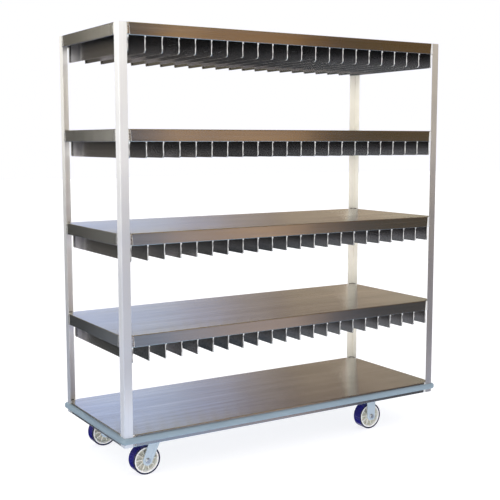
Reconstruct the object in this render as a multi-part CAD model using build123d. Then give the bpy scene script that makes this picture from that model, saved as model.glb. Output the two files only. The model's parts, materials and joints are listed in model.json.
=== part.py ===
from build123d import *
import math
import os

# Tray drying rack on casters: four corner posts, a base pan, four shelf pans with hanging divider
# plates, a bumper round the base, two swivel casters at the left end and two rigid ones at the right.
# Millimetres. X is the length, Y the depth (front is -Y), Z up. The origin is on the floor, in the
# middle of the footprint.

# ---------------------------------------------------------------- driving dimensions
RACK_L = 1689.1          # over the posts, 66 1/2 in
RACK_D = 647.7           # over the posts, 25 1/2 in
SHELF_PITCH = 419.1      # deck top to deck top, 16 1/2 in
CASTER_H = 157.2         # floor to the underside of the base, 6 3/16 in
FLANGE_H = 50.8          # turned-down edge of every pan, 2 in
SHEET = 1.6              # pan sheet
BEND_R = 3.2             # outside radius of the pan bends
HEM_W = 4.8              # thickness of the open hem under each flange
HEM_H = 12.7             # height of the hem return

POST_W = 38.1            # leg of the corner angle, 1 1/2 in
POST_T = 3.2
POST_R = 4.8             # outside bend radius of the angle

GAP_TOP = 9.0            # post edge to flange end, at the deck
GAP_BOTTOM = 13.0        # the same at the hem
DECK_CLEAR = 6.0         # deck corner to the inside faces of the post
TAB_FROM = 14.0          # each corner has two tabs that reach the post, this far from its outer face
TAB_W = 12.0

DIVIDER_PITCH = 76.2     # 3 in
DIVIDER_COUNT = 22
DIVIDER_T = 1.2          # divider sheet
DIVIDER_EDGE = 3.2       # over the folded front and back edges
DIVIDER_HANG = 66.0      # below the flange
DIVIDER_RECESS = 5.0     # behind the front and back faces
DIVIDER_HEM = 19.0
DIVIDER_CORNER_R = 9.0

BUMPER_PROUD = 14.0
BUMPER_H = 27.0
BUMPER_Z = 186.0         # middle of the bumper
TRACK_T = 2.0
TRACK_H = 22.0

WHEEL_R = 63.5           # 5 in wheel
WHEEL_W = 50.8           # 2 in tread
TREAD_R = 1.8            # shoulder of the tread
RIM_R = 56.0             # outside of the moulded core, under the tread
CASTER_INSET = 96.8      # wheel middle to the front or back face
SWIVEL_FROM_LEFT = 168.3 # swivel axis to the left end
RIGID_FROM_RIGHT = 336.55
LEAD = 34.9              # swivel axis to axle

PLATE_L = 114.3
PLATE_D = 101.6
PLATE_T = 5.0
BOLT_PX = 92.1           # bolt pattern along X
BOLT_PY = 66.7           # bolt pattern along Y
BOLT_D = 9.5
LEG_IN = 31.2            # inner face of a fork leg from the wheel's middle
LEG_T = 3.2
AXLE_D = 12.0
SLEEVE_D = 15.8
BORE_D = 16.0
CHANNEL_W = 124.0
CHANNEL_T = 3.2

# ---------------------------------------------------------------- derived levels and places
BASE_TOP = CASTER_H + FLANGE_H
DECK_TOPS = [BASE_TOP + i * SHELF_PITCH for i in range(5)]
TOP = DECK_TOPS[4]
HX = RACK_L / 2
HY = RACK_D / 2
SWIVEL_X = -HX + SWIVEL_FROM_LEFT
RIGID_X = HX - RIGID_FROM_RIGHT
CASTER_Y = HY - CASTER_INSET
FIRST_DIVIDER_X = -(DIVIDER_COUNT - 1) * DIVIDER_PITCH / 2

os.makedirs("parts", exist_ok=True)


def write(shape, name):
    shape.label = name
    export_step(shape, f"parts/{name}.step")


def closed(points):
    """A face from straight edges and three-point arcs: a tuple of two points in the list is an arc's middle and end."""
    edges = []
    here = points[0]
    for item in points[1:]:
        if isinstance(item[0], tuple):
            edges.append(ThreePointArc(here, item[0], item[1]))
            here = item[1]
        else:
            edges.append(Line(here, item))
            here = item
    edges.append(Line(here, points[0])) if math.dist(here, points[0]) > 1e-6 else None
    return make_face(Wire(Curve() + edges).edges())


def group(shapes):
    return Compound(children=[s.solid() if len(s.solids()) == 1 else s for s in shapes])


def hexagon(af, height):
    return extrude(RegularPolygon(af / 2, 6, major_radius=False), height)


# ---------------------------------------------------------------- corner posts: bent angle
def post(sx, sy):
    c = POST_R * (1 - math.sqrt(0.5))
    ri = POST_R - POST_T
    ci = POST_T + ri * (1 - math.sqrt(0.5))
    section = closed([
        (POST_R, 0), (POST_W, 0), (POST_W, POST_T), (POST_R, POST_T),
        ((ci, ci), (POST_T, POST_R)), (POST_T, POST_W), (0, POST_W), (0, POST_R),
        ((c, c), (POST_R, 0)),
    ])
    body = extrude(section, TOP - CASTER_H)
    body = Pos(-HX, -HY, CASTER_H) * body
    if sx > 0:
        body = mirror(body, Plane.YZ)
    if sy > 0:
        body = mirror(body, Plane.XZ)
    return body


for name, sx, sy in (("front_left", -1, -1), ("front_right", 1, -1), ("back_left", -1, 1), ("back_right", 1, 1)):
    write(post(sx, sy), f"post_{name}")


# ---------------------------------------------------------------- pans: deck, turned-down flanges, open hem
def flange_section(strip=12.0):
    ro, ri = BEND_R, BEND_R - SHEET
    rh, rg = HEM_W / 2, HEM_W / 2 - SHEET
    s = math.sqrt(0.5)
    zb = -FLANGE_H
    return closed([
        (strip, 0), (ro, 0), ((ro - ro * s, -ro + ro * s), (0, -ro)),
        (0, zb + rh), ((rh, zb), (HEM_W, zb + rh)),
        (HEM_W, zb + HEM_H), (HEM_W - SHEET, zb + HEM_H), (HEM_W - SHEET, zb + rh),
        ((rh, zb + rh - rg), (SHEET, zb + rh)),
        (SHEET, -ro), ((ro - ri * s, -ro + ri * s), (ro, -SHEET)),
        (strip, -SHEET),
    ])


def pan():
    """The pan with its deck top at z = 0."""
    start = POST_W + GAP_TOP
    deck = Pos(0, 0, -SHEET / 2) * Box(RACK_L - 2 * POST_T, RACK_D - 2 * POST_T, SHEET)
    # each corner stands clear of its post, but for one tab to either leg of the angle
    e = POST_T + DECK_CLEAR
    clear = closed([
        (0, 0), (start, 0), (start, e), (TAB_FROM + TAB_W, e), (TAB_FROM + TAB_W, POST_T), (TAB_FROM, POST_T), (TAB_FROM, e),
        (e, e), (e, TAB_FROM), (POST_T, TAB_FROM), (POST_T, TAB_FROM + TAB_W), (e, TAB_FROM + TAB_W), (e, start), (0, start),
    ])
    clear = Pos(-HX, -HY, -SHEET - 1) * extrude(clear, SHEET + 2)
    deck = deck - clear - mirror(clear, Plane.YZ) - mirror(clear, Plane.XZ) - mirror(mirror(clear, Plane.YZ), Plane.XZ)
    long_run = RACK_L - 2 * start
    end_run = RACK_D - 2 * start
    front = extrude(Plane(origin=(-HX + start, -HY, 0), x_dir=(0, 1, 0), z_dir=(1, 0, 0)) * flange_section(), long_run)
    left = extrude(Plane(origin=(-HX, HY - start, 0), x_dir=(1, 0, 0), z_dir=(0, -1, 0)) * flange_section(), end_run)
    # the flange ends lean away from the posts towards the hem
    wedge = Polyline(
        (start - 2, -BEND_R), (start, -BEND_R), (start + (GAP_BOTTOM - GAP_TOP), -FLANGE_H), (start + (GAP_BOTTOM - GAP_TOP), -FLANGE_H - 2),
        (start - 2, -FLANGE_H - 2), close=True)
    wedge_face = make_face(wedge)
    cut_x = extrude(Plane(origin=(-HX, -HY - 2, 0), x_dir=(1, 0, 0), z_dir=(0, -1, 0)) * wedge_face, -12)
    cut_y = extrude(Plane(origin=(-HX - 2, -HY, 0), x_dir=(0, 1, 0), z_dir=(1, 0, 0)) * wedge_face, 12)
    front = front - cut_x - mirror(cut_x, Plane.YZ)
    left = left - cut_y - mirror(cut_y, Plane.XZ)
    body = deck + front + mirror(front, Plane.XZ) + left + mirror(left, Plane.YZ)
    return body.solid()


PAN = pan()
for i, name in enumerate(("base_shelf", "shelf_1", "shelf_2", "shelf_3", "top_shelf")):
    write(Pos(0, 0, DECK_TOPS[i]) * PAN, name)


# ---------------------------------------------------------------- divider plates: hemmed front and back edges
def divider():
    """One plate, its top at z = -SHEET under a deck at z = 0, its middle plane at x = 0."""
    y0, y1 = -HY + DIVIDER_RECESS, HY - DIVIDER_RECESS
    t = DIVIDER_EDGE / 2
    m = t - DIVIDER_T
    plan = closed([
        (t, y0 + t), (t, y1 - t), ((0, y1), (-t, y1 - t)),
        (-t, y1 - DIVIDER_HEM), (m, y1 - DIVIDER_HEM), (m, y0 + DIVIDER_HEM), (-t, y0 + DIVIDER_HEM),
        (-t, y0 + t), ((0, y0), (t, y0 + t)),
    ])
    height = FLANGE_H + DIVIDER_HANG - SHEET
    plate = Pos(0, 0, -SHEET - height) * extrude(plan, height)
    r = DIVIDER_CORNER_R
    k = r * (1 - math.sqrt(0.5))
    zb = -SHEET - height
    side = closed([
        (y0, -SHEET), (y0, zb + r), ((y0 + k, zb + k), (y0 + r, zb)), (y1 - r, zb),
        ((y1 - k, zb + k), (y1, zb + r)), (y1, -SHEET),
    ])
    side = extrude(Plane(origin=(-10, 0, 0), x_dir=(0, 1, 0), z_dir=(1, 0, 0)) * side, 20)
    return (plate & side).solid()


DIVIDER = divider()
DIVIDER_XS = [FIRST_DIVIDER_X + i * DIVIDER_PITCH for i in range(DIVIDER_COUNT)]
for i, name in ((1, "dividers_shelf_1"), (2, "dividers_shelf_2"), (3, "dividers_shelf_3"), (4, "dividers_top_shelf")):
    write(group([Pos(x, 0, DECK_TOPS[i]) * DIVIDER for x in DIVIDER_XS]), name)


# ---------------------------------------------------------------- bumper and its track
def ring(d_out, d_in, height):
    outer = extrude(RectangleRounded(RACK_L + 2 * d_out, RACK_D + 2 * d_out, POST_R + d_out), height)
    inner = extrude(RectangleRounded(RACK_L + 2 * d_in, RACK_D + 2 * d_in, POST_R + d_in), height)
    return outer, inner


track_out, track_in = ring(TRACK_T, 0.0, TRACK_H)
write((Pos(0, 0, BUMPER_Z - TRACK_H / 2) * (track_out - track_in)).solid(), "bumper_track")

strip_out, strip_in = ring(BUMPER_PROUD, 0.1, BUMPER_H)
rims = strip_out.edges().filter_by_position(Axis.Z, -0.01, 0.01) + strip_out.edges().filter_by_position(Axis.Z, BUMPER_H - 0.01, BUMPER_H + 0.01)
strip_out = fillet(rims, 11.0)
pocket_out, _ = ring(TRACK_T + 0.1, 0.0, TRACK_H + 0.4)
strip = strip_out - strip_in - Pos(0, 0, (BUMPER_H - TRACK_H - 0.4) / 2) * pocket_out
write((Pos(0, 0, BUMPER_Z - BUMPER_H / 2) * strip).solid(), "bumper")


# ---------------------------------------------------------------- channels that carry the casters
def bolt_spots(cx, cy):
    return [(cx + ax * BOLT_PX / 2, cy + ay * BOLT_PY / 2) for ax in (-1, 1) for ay in (-1, 1)]


def caster_channel(cx):
    h = FLANGE_H - SHEET
    ro, ri = POST_R, POST_R - CHANNEL_T
    s = math.sqrt(0.5)
    w = CHANNEL_W / 2
    t = CHANNEL_T
    section = closed([
        (-w, h), (-w, ro), ((-w + ro - ro * s, ro - ro * s), (-w + ro, 0)), (w - ro, 0),
        ((w - ro + ro * s, ro - ro * s), (w, ro)), (w, h), (w - t, h), (w - t, ro),
        ((w - ro + ri * s, ro - ri * s), (w - ro, t)), (-w + ro, t),
        ((-w + ro - ri * s, ro - ri * s), (-w + t, ro)), (-w + t, h),
    ])
    run = RACK_D - 2 * DIVIDER_RECESS
    body = extrude(Plane(origin=(cx, run / 2, CASTER_H), x_dir=(1, 0, 0), z_dir=(0, -1, 0)) * section, run)
    for cy in (-CASTER_Y, CASTER_Y):
        for x, y in bolt_spots(cx, cy):
            body -= Pos(x, y, CASTER_H) * Cylinder(BOLT_D / 2 + 0.4, 20)
    return body.solid()


write(caster_channel(SWIVEL_X), "caster_channel_left")
write(caster_channel(RIGID_X), "caster_channel_right")


# ---------------------------------------------------------------- casters
PLATE_BOTTOM = CASTER_H - PLATE_T
RACE_R = 27.0            # ball circle
BALL_R = 3.1
BALL_Z = PLATE_BOTTOM - 5.2
CROWN_TOP = BALL_Z - 0.4
CROWN_T = 7.0
CROWN_R = 42.0


def plate_blank(cx, cy):
    body = Pos(cx, cy, PLATE_BOTTOM + PLATE_T / 2) * Box(PLATE_L, PLATE_D, PLATE_T)
    body = fillet(body.edges().filter_by(Axis.Z), 9.0)
    for x, y in bolt_spots(cx, cy):
        body -= Pos(x, y, PLATE_BOTTOM - 1) * extrude(SlotOverall(16.0, BOLT_D + 0.8, rotation=90), PLATE_T + 2)
    return body


def swivel_plate(cx, cy):
    body = plate_blank(cx, cy)
    boss_h = PLATE_BOTTOM - (BALL_Z + 0.4)
    body += Pos(cx, cy, PLATE_BOTTOM - boss_h / 2) * Cylinder(CROWN_R - 1, boss_h)
    body -= Pos(cx, cy, CASTER_H) * Cylinder(6.1, 40)
    body -= Pos(cx, cy, CASTER_H - 1.5) * Cone(6.1, 9.1, 3.0)
    body -= Pos(cx, cy, BALL_Z) * Torus(RACE_R, BALL_R + 0.1)
    return body.solid()


def king_bolt(cx, cy):
    """Flush head in the plate, plain shank through the crown, threaded end under it."""
    low = CROWN_TOP - CROWN_T - 12.0
    body = Pos(cx, cy, (low + CASTER_H) / 2) * Cylinder(6.0, CASTER_H - low)
    body += Pos(cx, cy, CASTER_H - 1.5) * Cone(6.0, 9.0, 3.0)
    body = chamfer(body.edges().sort_by(Axis.Z)[0], 1.0)
    return body.solid()


def king_nut(cx, cy):
    top = CROWN_TOP - CROWN_T - 0.4
    body = Pos(cx, cy, top - 9.5) * (hexagon(19.0, 8.0) + Pos(0, 0, 8.75) * Cylinder(13.0, 1.5))
    body -= Pos(cx, cy, top) * Cylinder(6.0, 40)
    return body.solid()


def leg_face(ax, az, end_r, top_left, top_right, top_z):
    """Side view of a fork leg: a straight top, sides tangent to the round end about the axle."""
    def tangent(px, pz, side):
        dx, dz = px - ax, pz - az
        dist = math.hypot(dx, dz)
        turn = math.acos(end_r / dist)
        ang = math.atan2(dz, dx) + side * turn
        return (ax + end_r * math.cos(ang), az + end_r * math.sin(ang))
    right = tangent(top_right, top_z, -1)
    left = tangent(top_left, top_z, 1)
    return closed([
        (top_left, top_z), left, ((ax + end_r * math.cos(-math.pi / 2), az - end_r), right), (top_right, top_z),
    ])


def leg(face, y_in, thickness, side):
    """A leg plate in the XZ plane whose inner face is y_in from the middle, on the side -1 (front) or 1 (back)."""
    origin_y = side * y_in
    return extrude(Plane(origin=(0, origin_y, 0), x_dir=(1, 0, 0), z_dir=(0, -1, 0)) * face, -side * thickness)


def rib_on_leg(x0, z0, x1, z1, width, y_face, proud, side):
    """A pressed stiffening rib with round ends on the outer face of a leg."""
    length = math.hypot(x1 - x0, z1 - z0) + width
    angle = math.degrees(math.atan2(z1 - z0, x1 - x0))
    slot = SlotOverall(length, width, rotation=angle)
    plane = Plane(origin=((x0 + x1) / 2, side * y_face, (z0 + z1) / 2), x_dir=(1, 0, 0), z_dir=(0, -1, 0))
    body = extrude(plane * slot, -side * proud)
    outer = body.faces().sort_by(Axis.Y)[-1 if side > 0 else 0]
    return fillet(outer.edges(), proud * 0.7)


def swivel_fork(cx, cy):
    crown = Pos(0, 0, CROWN_TOP - CROWN_T / 2) * Cylinder(CROWN_R, CROWN_T)
    crown = fillet(crown.edges().filter_by_position(Axis.Z, CROWN_TOP - CROWN_T - 0.01, CROWN_TOP - CROWN_T + 0.01), 3.0)
    face = leg_face(-LEAD, WHEEL_R, 21.5, -26.5, 27.5, CROWN_TOP - 2.0)
    body = crown
    for side in (-1, 1):
        body += leg(face, LEG_IN, LEG_T, side)
        body += rib_on_leg(14.0, 132.0, -15.5, 74.0, 8.0, LEG_IN + LEG_T, 2.2, side)
    body -= Pos(0, 0, BALL_Z) * Torus(RACE_R, BALL_R + 0.1)
    body -= Pos(0, 0, CROWN_TOP) * Cylinder(6.1, 40)
    body -= Pos(-LEAD, 0, WHEEL_R) * Rot(90, 0, 0) * Cylinder(AXLE_D / 2 + 0.1, 90)
    return Pos(cx, cy, 0) * body.solid()


def swivel_balls(cx, cy):
    balls = []
    for i in range(18):
        a = 2 * math.pi * i / 18
        balls.append(Pos(cx + RACE_R * math.cos(a), cy + RACE_R * math.sin(a), BALL_Z) * Sphere(BALL_R))
    return group(balls)


def rigid_fork(cx, cy):
    face = leg_face(0, WHEEL_R, 22.5, -25.5, 25.5, PLATE_BOTTOM - 6.0)
    outer = LEG_IN + LEG_T
    web = Pos(0, 0, PLATE_BOTTOM - 4.0) * Box(51.0, 2 * outer, 8.0)
    web -= Pos(0, 0, PLATE_BOTTOM - 4.0 - 5.0) * Box(60.0, 2 * LEG_IN, 10.0)
    web = fillet(web.edges().filter_by(Axis.X).sort_by(Axis.Z)[-2:], 3.0)
    body = web
    for side in (-1, 1):
        body += leg(face, LEG_IN, LEG_T, side)
    # the round ends are trimmed flat under the axle
    body -= Pos(0, 0, WHEEL_R - 18.5 - 10.0) * Box(60.0, 2 * outer + 4, 20.0)
    body -= Pos(0, 0, WHEEL_R) * Rot(90, 0, 0) * Cylinder(AXLE_D / 2 + 0.1, 90)
    return Pos(cx, cy, 0) * body.solid()


# axle set: bolt with its head on the outer side, sleeve clamped between the legs, lock nut inside
def axle_bolt(ax, cy, side):
    outer = LEG_IN + LEG_T
    length = 2 * outer + 12.0
    shank = Pos(0, 0, length / 2 - outer) * Cylinder(AXLE_D / 2, length)
    shank = chamfer(shank.edges().sort_by(Axis.Z)[-1], 1.0)
    head = Pos(0, 0, -outer - 7.5) * hexagon(19.0, 7.5)
    washer_face = Pos(0, 0, -outer - 0.6) * Cylinder(11.5, 1.2)
    head = chamfer(head.faces().sort_by(Axis.Z)[0].edges(), 0.9)
    body = (shank + head + washer_face).solid()
    turn = Rot(-90, 0, 0) if side < 0 else Rot(90, 0, 0)
    return Pos(ax, cy, WHEEL_R) * turn * body


def axle_nut(ax, cy, side):
    outer = LEG_IN + LEG_T
    body = hexagon(19.0, 8.0) + Pos(0, 0, 9.5) * Cylinder(8.6, 3.0) + Pos(0, 0, 0.6) * Cylinder(11.5, 1.2)
    body -= Cylinder(AXLE_D / 2, 40)
    body = Pos(0, 0, outer) * body
    turn = Rot(-90, 0, 0) if side < 0 else Rot(90, 0, 0)
    return (Pos(ax, cy, WHEEL_R) * turn * body).solid()


def axle_sleeve(ax, cy):
    body = Cylinder(SLEEVE_D / 2, 2 * LEG_IN - 0.1) - Cylinder(AXLE_D / 2 + 0.1, 100)
    return Pos(ax, cy, WHEEL_R) * Rot(90, 0, 0) * body.solid()


# wheel: moulded core with a dished web and radial ribs, and a moulded-on tread
def wheel_core(ax, cy):
    rim_w, hub_w = WHEEL_W / 2 - 1.0, LEG_IN - 0.6
    profile = closed([
        (BORE_D / 2, -hub_w), (14.5, -hub_w), (17.5, -6.0), (21.0, -3.5), (46.0, -3.5), (48.5, -6.0), (50.0, -rim_w + 1.0), (51.0, -rim_w),
        (RIM_R, -rim_w), (RIM_R, rim_w),
        (51.0, rim_w), (50.0, rim_w - 1.0), (48.5, 6.0), (46.0, 3.5), (21.0, 3.5), (17.5, 6.0), (14.5, hub_w), (BORE_D / 2, hub_w),
    ])
    core = revolve(Plane.XZ * profile, Axis.Z)
    count = 10
    for i in range(count):
        rib = closed([(13.0, -23.0), (24.0, -16.5), (50.5, -14.0), (50.5, 14.0), (24.0, 16.5), (13.0, 23.0)])
        rib = extrude(Plane.XZ * rib, 1.6, both=True)
        core += Rot(0, 0, 360.0 * i / count) * rib
    core -= Cylinder(BORE_D / 2, 100)
    return Pos(ax, cy, WHEEL_R) * Rot(90, 0, 0) * core.solid()


def wheel_tread(ax, cy):
    w = WHEEL_W / 2
    rim_w = w - 1.0
    r = TREAD_R
    k = r * (1 - math.sqrt(0.5))
    profile = closed([
        (RIM_R, -rim_w), (RIM_R + 1.0, -w), (WHEEL_R - r, -w), ((WHEEL_R - k, -w + k), (WHEEL_R, -w + r)),
        (WHEEL_R, w - r), ((WHEEL_R - k, w - k), (WHEEL_R - r, w)), (RIM_R + 1.0, w), (RIM_R, rim_w),
    ])
    body = revolve(Plane.XZ * profile, Axis.Z)
    return Pos(ax, cy, WHEEL_R) * Rot(90, 0, 0) * body.solid()


def caster_bolt(x, y):
    z0 = PLATE_BOTTOM
    z1 = CASTER_H + CHANNEL_T + 11.5
    body = Pos(x, y, (z0 + z1) / 2) * Cylinder(BOLT_D / 2, z1 - z0)
    body = chamfer(body.edges().sort_by(Axis.Z)[-1], 0.9)
    head = hexagon(14.3, 6.0)
    head = chamfer(head.faces().sort_by(Axis.Z)[0].edges(), 0.7)
    body += Pos(x, y, z0 - 6.0) * head
    body += Pos(x, y, z0 - 0.5) * Cylinder(10.0, 1.0)
    return body.solid()


def caster_nut(x, y):
    body = Pos(x, y, CASTER_H + CHANNEL_T) * (hexagon(14.3, 8.0) + Pos(0, 0, 0.5) * Cylinder(10.0, 1.0))
    body -= Pos(x, y, CASTER_H) * Cylinder(BOLT_D / 2, 60)
    return body.solid()


bolts, nuts = [], []
for where, sy in (("front", -1), ("back", 1)):
    cy = sy * CASTER_Y
    # left end: swivel
    name = f"{where}_left"
    write(swivel_plate(SWIVEL_X, cy), f"swivel_plate_{name}")
    write(king_bolt(SWIVEL_X, cy), f"king_bolt_{name}")
    write(king_nut(SWIVEL_X, cy), f"king_nut_{name}")
    write(swivel_fork(SWIVEL_X, cy), f"swivel_fork_{name}")
    write(swivel_balls(SWIVEL_X, cy), f"swivel_balls_{name}")
    # right end: rigid
    name = f"{where}_right"
    write(plate_blank(RIGID_X, cy).solid(), f"rigid_plate_{name}")
    write(rigid_fork(RIGID_X, cy), f"rigid_fork_{name}")
    for end, ax in (("left", SWIVEL_X - LEAD), ("right", RIGID_X)):
        name = f"{where}_{end}"
        write(axle_bolt(ax, cy, sy), f"axle_bolt_{name}")
        write(axle_nut(ax, cy, sy), f"axle_nut_{name}")
        write(axle_sleeve(ax, cy), f"axle_sleeve_{name}")
        write(wheel_core(ax, cy), f"wheel_core_{name}")
        write(wheel_tread(ax, cy), f"wheel_tread_{name}")
    for cx in (SWIVEL_X, RIGID_X):
        for x, y in bolt_spots(cx, cy):
            bolts.append(caster_bolt(x, y))
            nuts.append(caster_nut(x, y))
write(group(bolts), "caster_bolts")
write(group(nuts), "caster_nuts")

print("height", TOP, "deck tops", [round(z, 1) for z in DECK_TOPS])
print("swivel x", SWIVEL_X, "axle x", SWIVEL_X - LEAD, "rigid x", RIGID_X, "caster y", CASTER_Y)
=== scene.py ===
import json
import math
import random

import bmesh
import bpy
from mathutils import Matrix, Vector, noise


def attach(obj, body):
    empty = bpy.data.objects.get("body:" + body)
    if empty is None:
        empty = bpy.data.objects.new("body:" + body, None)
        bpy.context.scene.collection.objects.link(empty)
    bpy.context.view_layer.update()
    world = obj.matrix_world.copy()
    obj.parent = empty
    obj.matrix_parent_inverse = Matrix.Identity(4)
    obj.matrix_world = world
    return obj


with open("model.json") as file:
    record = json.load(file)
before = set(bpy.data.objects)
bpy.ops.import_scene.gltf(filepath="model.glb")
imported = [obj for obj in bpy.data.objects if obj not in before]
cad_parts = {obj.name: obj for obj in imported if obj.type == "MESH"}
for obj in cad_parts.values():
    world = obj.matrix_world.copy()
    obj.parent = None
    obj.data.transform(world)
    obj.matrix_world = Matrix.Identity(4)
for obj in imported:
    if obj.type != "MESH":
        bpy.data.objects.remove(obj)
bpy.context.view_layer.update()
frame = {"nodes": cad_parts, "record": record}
NODES = frame["nodes"]
scene = bpy.context.scene

# ------------------------------------------------------------------ sizes, metres (as the frame has them)
HX, HY = 0.84455, 0.32385
DECKS = [0.208 + i * 0.4191 for i in range(5)]
FLANGE = 0.0508
DIVIDER_XS = [(-10.5 + i) * 0.0762 for i in range(22)]
CASTER_Y = 0.22705
SWIVEL_X = -0.67625
RIGID_X = 0.508
WHEEL_R = 0.0635


# ------------------------------------------------------------------ node helpers
class Net:
    """A small wrapper that builds a node tree."""

    def __init__(self, tree):
        self.t = tree
        tree.nodes.clear()
        self.x = 0

    def node(self, kind, **props):
        n = self.t.nodes.new(kind)
        n.location = (self.x, 0)
        self.x += 40
        for k, v in props.items():
            setattr(n, k, v)
        return n

    def put(self, sock, value):
        if isinstance(value, bpy.types.NodeSocket):
            self.t.links.new(value, sock)
        elif value is not None:
            sock.default_value = value

    def math(self, op, a, b=None, c=None, clamp=False):
        n = self.node("ShaderNodeMath", operation=op, use_clamp=clamp)
        self.put(n.inputs[0], a)
        self.put(n.inputs[1], b)
        self.put(n.inputs[2], c)
        return n.outputs[0]

    def vmath(self, op, a, b=None, out=0):
        n = self.node("ShaderNodeVectorMath", operation=op)
        self.put(n.inputs[0], a)
        if b is not None:
            self.put(n.inputs[1], b)
        return n.outputs[out]

    def mix(self, fac, a, b, blend="MIX"):
        n = self.node("ShaderNodeMix", data_type="RGBA", blend_type=blend)
        self.put(n.inputs[0], fac)
        self.put(n.inputs[6], a)
        self.put(n.inputs[7], b)
        return n.outputs[2]

    def fmix(self, fac, a, b):
        n = self.node("ShaderNodeMix", data_type="FLOAT")
        self.put(n.inputs[0], fac)
        self.put(n.inputs[2], a)
        self.put(n.inputs[3], b)
        return n.outputs[0]

    def coords(self, scale=(1, 1, 1), loc=(0, 0, 0), vec=None):
        if vec is None:
            vec = self.node("ShaderNodeTexCoord").outputs["Object"]
        n = self.node("ShaderNodeMapping")
        self.put(n.inputs["Vector"], vec)
        n.inputs["Scale"].default_value = scale
        n.inputs["Location"].default_value = loc
        return n.outputs[0]

    def noise(self, vec, scale=1.0, detail=3.0, rough=0.55, distort=0.0):
        n = self.node("ShaderNodeTexNoise")
        self.put(n.inputs["Vector"], vec)
        n.inputs["Scale"].default_value = scale
        n.inputs["Detail"].default_value = detail
        n.inputs["Roughness"].default_value = rough
        n.inputs["Distortion"].default_value = distort
        return n.outputs["Fac"]

    def remap(self, v, a, b, c, d, smooth=False):
        n = self.node("ShaderNodeMapRange", interpolation_type="SMOOTHSTEP" if smooth else "LINEAR", clamp=True)
        self.put(n.inputs[0], v)
        self.put(n.inputs[1], a)
        self.put(n.inputs[2], b)
        self.put(n.inputs[3], c)
        self.put(n.inputs[4], d)
        return n.outputs[0]

    def ramp(self, fac, stops):
        n = self.node("ShaderNodeValToRGB")
        self.put(n.inputs[0], fac)
        el = n.color_ramp.elements
        el[0].position, el[0].color = stops[0][0], (*stops[0][1], 1)
        el[1].position, el[1].color = stops[-1][0], (*stops[-1][1], 1)
        for p, c in stops[1:-1]:
            e = el.new(p)
            e.color = (*c, 1)
        return n.outputs[0]

    def bump(self, height, distance, strength=1.0, normal=None):
        n = self.node("ShaderNodeBump")
        n.inputs["Strength"].default_value = strength
        n.inputs["Distance"].default_value = distance
        self.put(n.inputs["Height"], height)
        if normal is not None:
            self.put(n.inputs["Normal"], normal)
        return n.outputs[0]


def material(name):
    m = bpy.data.materials.new(name)
    m.use_nodes = True
    net = Net(m.node_tree)
    out = net.node("ShaderNodeOutputMaterial")
    bsdf = net.node("ShaderNodeBsdfPrincipled")
    net.put(out.inputs[0], bsdf.outputs[0])
    return m, net, bsdf


def gray(c, k):
    return tuple(min(1.0, v * k) for v in c)


def smooth_step(net, v, a, b):
    return net.remap(v, a, b, 0.0, 1.0, smooth=True)


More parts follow.
